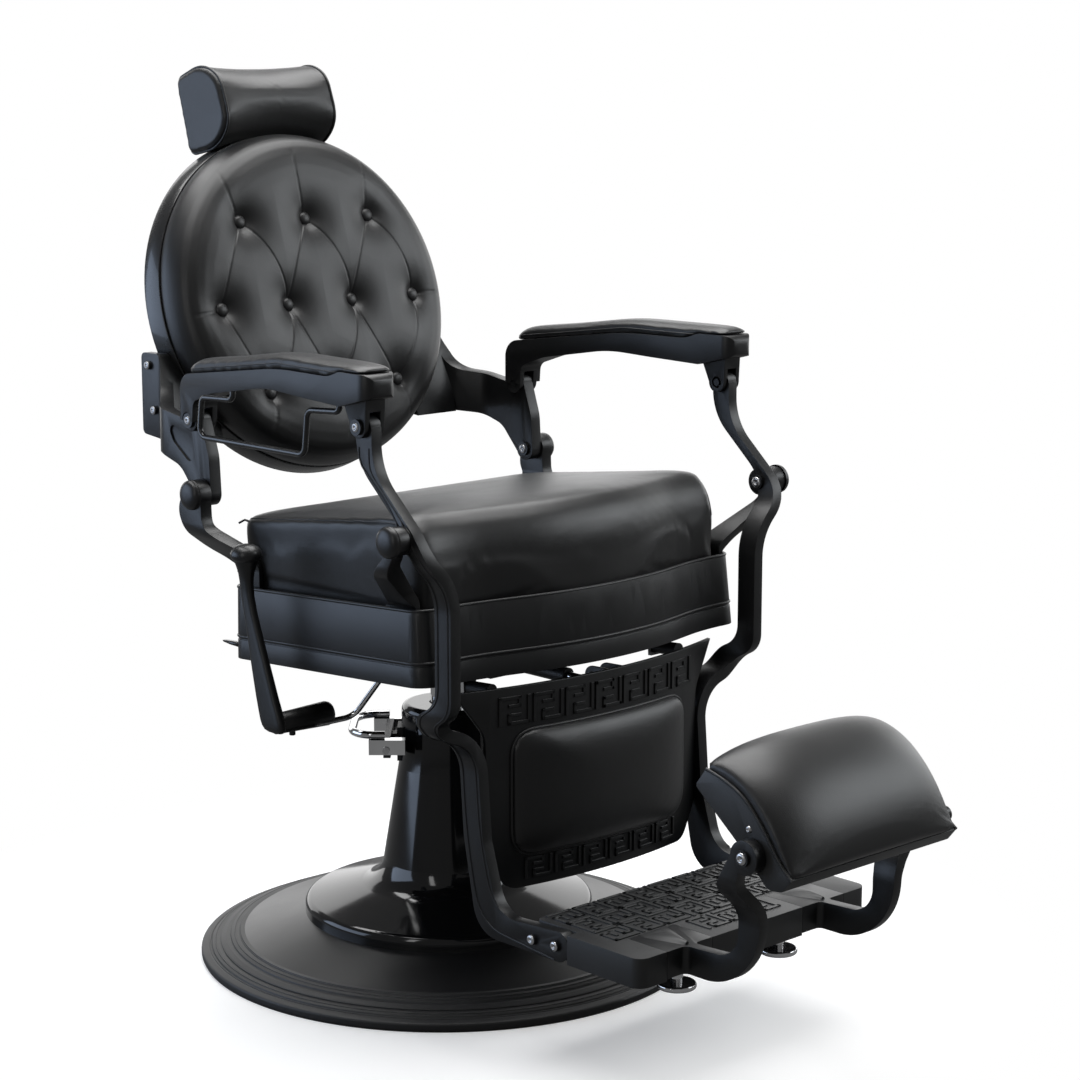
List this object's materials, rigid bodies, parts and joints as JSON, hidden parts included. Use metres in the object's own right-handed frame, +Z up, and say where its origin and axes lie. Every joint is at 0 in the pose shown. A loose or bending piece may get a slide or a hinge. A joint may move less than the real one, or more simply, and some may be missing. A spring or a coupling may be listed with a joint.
{
  "type": "hydraulic barber chair",
  "caption": "Hydraulic barber chair with a round tufted back, headrest, linked side frames, padded arm rests, foot plate, tilting leg rest and a foot-pumped round base",
  "frame": {"origin": "on the floor at the middle of the round base", "axes": "+X to the sitter's left, -Y to the front where the feet rest, +Z up"},
  "size_m": [0.7232, 1.2379, 1.2255],
  "materials": {
    "ring_rubber": "matte, grooved",
    "base_iron": "satin black paint",
    "gloss_cover": "high-gloss black",
    "castings": "satin black powder coat",
    "foot_castings": "fine-textured dark grey",
    "pump_iron": "grey paint",
    "frame_steel": "black paint",
    "bright": "polished",
    "zinc": "zinc plated",
    "black_steel": "gloss black",
    "board_wood": "plywood",
    "leatherette": "fine grain, soft sheen",
    "knob_plastic": "black",
    "rear_cover": "satin black, domed"
  },
  "bodies": {
    "base": {"rubber_ring": "ring_rubber", "base_plate": "base_iron", "column_cover": "gloss_cover", "lever_boot": "castings", "pump_body": "pump_iron", "base_bolts": "zinc", "gland_nut": "zinc"},
    "pump_lever": {"pump_lever": "pump_iron", "lever_bars": "bright", "lever_screws": "zinc", "lever_hoop": "black_steel"},
    "lift": {"piston": "bright"},
    "seat": {"seat_frame": "frame_steel", "seat_board": "board_wood", "seat_band": "castings", "seat_cushion": "leatherette", "stop_bars": "zinc", "stop_buffers": "ring_rubber", "lock_cylinder": "zinc", "rear_bracket_left": "castings", "rear_bracket_right": "castings", "front_bracket_left": "castings", "front_bracket_right": "castings", "pivot_bolts": "zinc", "pivot_caps": "castings"},
    "recline_lever": {"recline_handle": "castings", "recline_knob": "knob_plastic", "release_rod": "bright"},
    "back": {"back_shell": "castings", "back_cushion": "leatherette", "back_buttons": "leatherette", "back_cover": "rear_cover", "back_arm_left": "castings", "back_arm_right": "castings", "back_bolts": "zinc", "arm_rear_bolts": "zinc", "headrest_socket": "castings", "headrest_knob": "knob_plastic"},
    "headrest": {"headrest_pad": "leatherette", "headrest_posts": "castings"},
    "arm_left": {"arm_rest_left": "castings", "arm_pad_left": "leatherette"},
    "arm_right": {"arm_rest_right": "castings", "arm_pad_right": "leatherette", "towel_bar": "castings"},
    "legs": {"side_frame_left": "castings", "side_frame_right": "castings", "leg_panel": "castings", "leg_pad": "leatherette", "foot_plate": "foot_castings", "foot_plate_bolts": "zinc", "rest_arm_left": "castings", "rest_arm_right": "castings", "foot_pads": "bright", "arm_front_bolts": "zinc"},
    "leg_rest": {"leg_rest_pan": "foot_castings", "leg_rest_pad": "leatherette", "leg_rest_bolts": "zinc", "leg_rest_knob": "knob_plastic"},
    "lock_rod": {"lock_rod": "zinc"}
  },
  "joints": [
    {"name": "pump_hinge", "type": "hinge", "parent": "base", "child": "pump_lever", "pos_m": [-0.03633, 0.03435, 0.302], "axis": [-0.6871, -0.7266, 0], "range_deg": [0, 18], "stiffness_Nm_per_rad": 6, "springref_deg": -20.05},
    {"name": "lift", "type": "slide", "parent": "base", "child": "lift", "axis": [0, 0, 1], "range_m": [0, 0.16]},
    {"name": "swivel", "type": "hinge", "parent": "lift", "child": "seat", "pos_m": [0, 0, 0.42], "axis": [0, 0, 1], "continuous": true},
    {"name": "recline", "type": "hinge", "parent": "seat", "child": "back", "pos_m": [0, 0.148, 0.667], "axis": [-1, 0, 0], "range_deg": [0, 35]},
    {"name": "legs_hinge", "type": "hinge", "parent": "seat", "child": "legs", "pos_m": [0, -0.294, 0.666], "axis": [-1, 0, 0], "range_deg": [0, 27]},
    {"name": "arm_left_hinge", "type": "hinge", "parent": "back", "child": "arm_left", "pos_m": [0, 0.164, 0.765], "axis": [1, 0, 0], "range_deg": [0, 39]},
    {"name": "arm_right_hinge", "type": "hinge", "parent": "back", "child": "arm_right", "pos_m": [0, 0.164, 0.765], "axis": [1, 0, 0], "range_deg": [0, 39]},
    {"name": "headrest_slide", "type": "slide", "parent": "back", "child": "headrest", "axis": [0, 0.2672, 0.9636], "range_m": [0, 0.08]},
    {"name": "leg_rest_hinge", "type": "hinge", "parent": "legs", "child": "leg_rest", "pos_m": [0, -0.714, 0.325], "axis": [1, 0, 0], "range_deg": [-30, 48]},
    {"name": "recline_lever_hinge", "type": "hinge", "parent": "seat", "child": "recline_lever", "pos_m": [0, -0.112, 0.455], "axis": [1, 0, 0], "range_deg": [0, 12], "stiffness_Nm_per_rad": 8, "springref_deg": -28.65},
    {"name": "lock_slide", "type": "slide", "parent": "seat", "child": "lock_rod", "axis": [0, -1, 0], "range_m": [0, 0.13]}
  ],
  "couplings": [
    {"joint": "legs_hinge", "follows": "recline", "ratio": 0.762},
    {"joint": "arm_left_hinge", "follows": "recline", "ratio": 1.0914},
    {"joint": "arm_right_hinge", "follows": "recline", "ratio": 1.0914},
    {"joint": "lock_slide", "follows": "recline", "m_per_rad": 0.1983}
  ]
}
